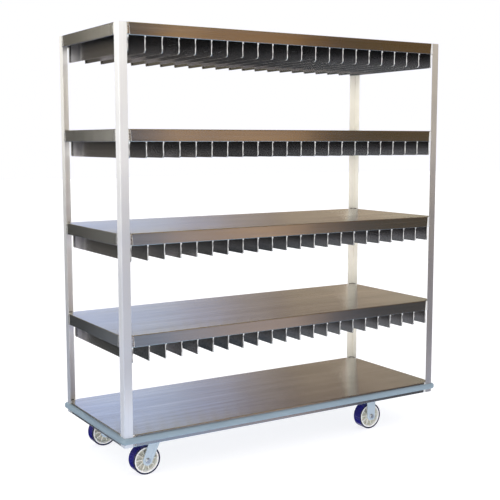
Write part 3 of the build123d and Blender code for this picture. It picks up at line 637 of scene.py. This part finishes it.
# what the polished faces see: soft-edged areas of wall, floor and light round the rack. Each has its azimuth from +Y
# towards +X and its elevation, in degrees, every edge with the half width of its softness, then its light
LOW, MID, HIGH, TOP_ROW = ((-50, 5), (-14, 4)), ((-14, 4), (-2, 4)), ((-2, 4), (10, 4)), ((10, 4), (55, 5))
BACK_SILL, BACK_LOW, BACK_MID, BACK_HIGH = ((-5, 3), (7.5, 1.5)), ((7.5, 1.5), (11, 3)), ((11, 3), (22, 3)), ((22, 3), (55, 5))
SIDE_LOW, SIDE_MID, SIDE_HIGH = ((-50, 5), (-12, 4)), ((-12, 4), (2, 4)), ((2, 4), (55, 5))
PANELS = [
    # in front, to the right of the camera: pale floor, then a warm dim room; the front edges of the pans show it
    ("floor, right", (125, 3), (140, 1.2), *LOW, (0.14, 0.18, 0.18)),
    ("floor, where it turns", (140, 1.2), (144.6, 0.5), *LOW, (0.23, 0.38, 0.60)),
    ("floor, middle", (144.6, 0.5), (153.4, 0.5), *LOW, (0.40, 0.58, 0.90)),
    ("floor, left", (153.4, 0.5), (180, 3), *LOW, (0.66, 0.70, 0.76)),
    ("floor, near right", (125, 3), (146, 1.5), (-50, 5), (-17.5, 1.5), (0.10, 0.08, 0.16)),
    ("floor, near left", (148.5, 1.5), (158, 3), (-50, 5), (-17.5, 1.5), (0.30, 0.36, 0.50)),
    ("skirting, turn", (142.5, 1), (144.3, 0.5), *MID, (0.18, 0.12, 0.02)),
    ("skirting, middle", (144.3, 0.5), (149.5, 1.2), *MID, (1.12, 0.74, 0.36)),
    ("skirting, left", (149.5, 1.2), (153.4, 0.5), *MID, (0.66, 0.46, 0.24)),
    ("room, right", (125, 3), (142.5, 1), *HIGH, (0.15, 0.13, 0.05)),
    ("room, turn", (142.5, 1), (144.6, 0.5), *HIGH, (0.19, 0.09, 0.01)),
    ("room, middle", (144.6, 0.5), (153.4, 0.5), *HIGH, (0.51, 0.22, 0.01)),
    ("ceiling beam, right", (125, 3), (140, 1.2), *TOP_ROW, (0.32, 0.12, 0.01)),
    ("lamp glow", (150.6, 1.2), (153.4, 0.5), *TOP_ROW, (0.40, 0.25, 0.03)),
    ("lamp", (151.6, 0.6), (153.4, 0.5), (3, 3), (15, 4), (0.80, 0.46, 0.20)),
    ("ceiling beam, left", (153.4, 0.5), (180, 3), *TOP_ROW, (0.22, 0.12, 0.05)),
    # behind the rack: bright windows low down, a cooler wall over them; the decks show it
    ("back sill, left", (5, 3), (22, 1), *BACK_SILL, (1.35, 1.27, 1.18)),
    ("back sill, warm", (22, 1), (28, 1), *BACK_SILL, (1.18, 0.98, 0.72)),
    ("back sill, middle", (28, 1), (34, 1), *BACK_SILL, (0.98, 0.76, 0.50)),
    ("back sill, right", (34, 1), (43, 1.5), *BACK_SILL, (1.14, 0.88, 0.54)),
    ("back sill, far right", (43, 1.5), (66, 3), *BACK_SILL, (0.85, 0.75, 0.52)),
    ("back window foot, left", (5, 3), (22, 1), *BACK_LOW, (1.00, 1.05, 1.18)),
    ("back window foot, middle", (22, 1), (28, 1), *BACK_LOW, (1.12, 1.10, 1.18)),
    ("back window foot, edge", (28, 1), (34, 1), *BACK_LOW, (0.84, 0.76, 0.74)),
    ("back window foot, right", (34, 1), (43, 1.5), *BACK_LOW, (1.32, 1.17, 0.92)),
    ("back window foot, far right", (43, 1.5), (66, 3), *BACK_LOW, (0.85, 0.78, 0.60)),
    ("back window, left", (5, 3), (22, 1), *BACK_MID, (1.00, 1.00, 1.12)),
    ("back window, middle", (22, 1), (28, 1), *BACK_MID, (1.03, 1.15, 1.35)),
    ("back window, edge", (28, 1), (31, 1), *BACK_MID, (0.83, 0.85, 1.00)),
    ("back window, frame", (31, 1), (34, 1), *BACK_MID, (0.53, 0.48, 0.52)),
    ("back wall, right", (34, 1), (43, 1.5), *BACK_MID, (0.30, 0.22, 0.20)),
    ("back wall, far right", (43, 1.5), (66, 3), *BACK_MID, (0.24, 0.28, 0.23)),
    ("back wall, over the window", (5, 3), (28, 1), *BACK_HIGH, (0.50, 0.73, 1.40)),
    ("back wall, over the frame", (28, 1), (34, 1), *BACK_HIGH, (0.17, 0.32, 0.78)),
    ("back wall, high right", (34, 1), (66, 3), *BACK_HIGH, (0.17, 0.15, 0.10)),
    ("floor, back left", (5, 3), (34, 2), (-50, 5), (-5, 3), (1.00, 0.98, 0.92)),
    ("floor, back right", (34, 2), (66, 3), (-50, 5), (-5, 3), (1.60, 1.58, 1.50)),
    # left of the rack: a darker side of the room; the end edges and the divider plates show it
    ("side floor, near", (-75, 4), (-44, 1.5), *SIDE_LOW, (0.25, 0.28, 0.37)),
    ("side floor, middle", (-44, 1.5), (-34, 1.2), *SIDE_LOW, (0.56, 0.58, 0.63)),
    ("side floor, far", (-34, 1.2), (-29, 1.2), *SIDE_LOW, (0.15, 0.19, 0.25)),
    ("side floor, back", (-29, 1.2), (-18, 2), *SIDE_LOW, (0.02, 0.05, 0.07)),
    ("side wall, middle", (-44, 1.5), (-34, 1.2), *SIDE_MID, (0.21, 0.24, 0.22)),
    ("side wall, far", (-29, 1.2), (-18, 2), *SIDE_MID, (0.20, 0.19, 0.17)),
    ("side wall, high", (-34, 1.2), (-24, 1.2), *SIDE_HIGH, (0.31, 0.27, 0.17)),
    ("side wall, high far", (-24, 1.2), (-18, 2), *SIDE_HIGH, (0.16, 0.14, 0.12)),
    # on the camera's side: the bright wall that makes the posts white, over a cool floor
    ("camera floor, front", (-180, 3), (-155, 4), *LOW, (1.05, 1.24, 1.70)),
    ("camera floor, middle", (-155, 4), (-125, 4), *LOW, (0.45, 0.68, 0.96)),
    ("camera floor, left", (-125, 4), (-75, 4), *LOW, (0.24, 0.32, 0.44)),
    ("camera wall, foot", (-180, 3), (-125, 4), (-14, 4), (-4, 3), (0.48, 0.42, 0.70)),
    ("camera wall, right", (-180, 3), (-163, 4), (-4, 3), (6, 3), (1.25, 1.19, 1.05)),
    ("camera wall, right, high", (-180, 3), (-163, 4), (6, 3), (17, 3), (1.70, 1.62, 1.40)),
    ("camera wall", (-163, 4), (-110, 4), (-4, 3), (6, 3), (2.25, 2.17, 1.97)),
    ("camera wall, high", (-163, 4), (-110, 4), (6, 3), (17, 3), (2.80, 2.71, 2.40)),
    ("camera wall, over the lamps", (-180, 3), (-110, 4), (17, 3), (55, 5), (0.85, 0.82, 0.74)),
    ("left wall, front", (-110, 4), (-75, 4), (-4, 3), (6, 3), (1.20, 1.16, 1.06)),
    ("left wall, front, high", (-110, 4), (-75, 4), (6, 3), (17, 3), (1.55, 1.50, 1.33)),
    ("left wall, front, top", (-110, 4), (-75, 4), (17, 3), (55, 5), (0.75, 0.73, 0.66)),
    ("left wall", (-75, 4), (-49, 2), (-4, 3), (17, 3), (1.00, 0.97, 0.88)),
    ("left wall, top", (-75, 4), (-49, 2), (17, 3), (55, 5), (0.60, 0.58, 0.53)),
    # right of the rack, overhead and underfoot
    ("right floor", (66, 3), (125, 3), (-50, 5), (0, 4), (0.25, 0.26, 0.28)),
    ("right wall", (66, 3), (125, 3), (0, 4), (55, 5), (0.30, 0.30, 0.30)),
    ("ceiling", (-181, 0.1), (181, 0.1), (55, 5), (95, 1), (1.45, 1.28, 0.80)),
    ("floor under the rack, back", (-90, 5), (90, 5), (-95, 1), (-50, 5), (0.30, 0.40, 1.00)),
    ("floor under the rack, front right", (90, 5), (181, 0.1), (-95, 1), (-50, 5), (1.00, 1.50, 1.85)),
    ("floor under the rack, front left", (-181, 0.1), (-90, 5), (-95, 1), (-50, 5), (0.85, 0.93, 1.19)),
]
AMBIENT = (1.0, 1.0, 1.06)


def window(net, v, lo, hi):
    up = smooth_step(net, v, lo[0] - lo[1], lo[0] + lo[1])
    down = smooth_step(net, v, hi[0] - hi[1], hi[0] + hi[1])
    return net.math("SUBTRACT", up, down)


def make_world(panels, ambient):
    w = scene.world or bpy.data.worlds.new("studio")
    scene.world = w
    w.use_nodes = True
    net = Net(w.node_tree)
    out = net.node("ShaderNodeOutputWorld")
    direction = net.vmath("NORMALIZE", net.node("ShaderNodeTexCoord").outputs["Generated"])
    sep = net.node("ShaderNodeSeparateXYZ")
    net.put(sep.inputs[0], direction)
    az = net.math("DEGREES", net.math("ARCTAN2", sep.outputs[0], sep.outputs[1]))
    el = net.math("DEGREES", net.math("ARCSINE", sep.outputs[2]))
    total = None
    for _, a0, a1, e0, e1, colour in panels:
        fac = net.math("MULTIPLY", window(net, az, a0, a1), window(net, el, e0, e1))
        scaled = net.node("ShaderNodeVectorMath", operation="SCALE")
        scaled.inputs[0].default_value = colour
        net.put(scaled.inputs["Scale"], fac)
        total = scaled.outputs[0] if total is None else net.vmath("ADD", total, scaled.outputs[0])
    gloss = net.node("ShaderNodeBackground")
    net.put(gloss.inputs[0], total)
    plain = net.node("ShaderNodeBackground")
    plain.inputs[0].default_value = (*ambient, 1)
    ray = net.node("ShaderNodeLightPath")
    mix = net.node("ShaderNodeMixShader")
    net.put(mix.inputs[0], ray.outputs["Is Glossy Ray"])
    net.put(mix.inputs[1], plain.outputs[0])
    net.put(mix.inputs[2], gloss.outputs[0])
    net.put(out.inputs[0], mix.outputs[0])


make_world(PANELS, AMBIENT)


def area(name, az, el, dist, size, power, colour=(1, 1, 1), target=(0, 0, 0.9)):
    a, e = math.radians(az), math.radians(el)
    d = Vector((math.sin(a) * math.cos(e), math.cos(a) * math.cos(e), math.sin(e)))
    li = bpy.data.lights.new(name, "AREA")
    li.shape = "RECTANGLE"
    li.size, li.size_y = size
    li.energy = power
    li.color = colour
    ob = bpy.data.objects.new(name, li)
    ob.location = Vector(target) + d * dist
    ob.rotation_euler = (-d).to_track_quat("-Z", "Y").to_euler()
    scene.collection.objects.link(ob)
    return ob


area("key", -140, 24, 3.2, (0.9, 0.9), 8, (1.0, 0.99, 0.98), target=(-0.8, -0.2, 1.5))
area("fill", -100, 20, 4.0, (1.5, 1.5), 4, (1.0, 0.99, 0.98), target=(0.2, 0.0, 1.4))

def corner_lamp(name, place, facing, size, power, colour):
    """A thin upright lamp inside a back corner: it only lifts the frosted inside of that post."""
    li = bpy.data.lights.new(name, "AREA")
    li.shape = "RECTANGLE"
    li.size, li.size_y = size
    li.energy = power
    li.color = colour
    ob = bpy.data.objects.new(name, li)
    ob.location = place
    ob.rotation_euler = (-Vector(facing)).to_track_quat("Z", "Y").to_euler()
    ob.visible_glossy = False
    ob.visible_camera = False
    scene.collection.objects.link(ob)


corner_lamp("corner_lamp_right", (0.690, 0.180, 1.06), (0.145, 0.135, 0), (0.05, 1.6), 1.15, (1.0, 0.98, 0.90))
corner_lamp("corner_lamp_left", (-0.8225, 0.060, 1.13), (0.0, 1.0, 0), (0.03, 1.46), 4.2, (1.0, 0.95, 0.86))

# ------------------------------------------------------------------ camera
F_PX = 931.39
YAW, PITCH, ROLL = 0.5561, -0.1159, -0.0009
CAM = Vector((-2.36775, -3.75285, 1.4147))
cam_data = bpy.data.cameras.new("camera")
cam_data.sensor_fit = "HORIZONTAL"
cam_data.sensor_width = 36.0
cam_data.lens = F_PX * 36.0 / 500.0
cam_data.clip_end = 200
cam = bpy.data.objects.new("camera", cam_data)
scene.collection.objects.link(cam)
fwd = Vector((math.sin(YAW) * math.cos(PITCH), math.cos(YAW) * math.cos(PITCH), math.sin(PITCH)))
right = Vector((math.cos(YAW), -math.sin(YAW), 0))
upv = right.cross(fwd)
r2 = math.cos(ROLL) * right + math.sin(ROLL) * upv
u2 = -math.sin(ROLL) * right + math.cos(ROLL) * upv
m = Matrix.Identity(4)
for i in range(3):
    m[i][0], m[i][1], m[i][2], m[i][3] = r2[i], u2[i], -fwd[i], CAM[i]
cam.matrix_world = m
scene.camera = cam

scene.view_settings.view_transform = "Standard"
scene.view_settings.look = "None"
scene.view_settings.exposure = 0.0
scene.view_settings.gamma = 1.0
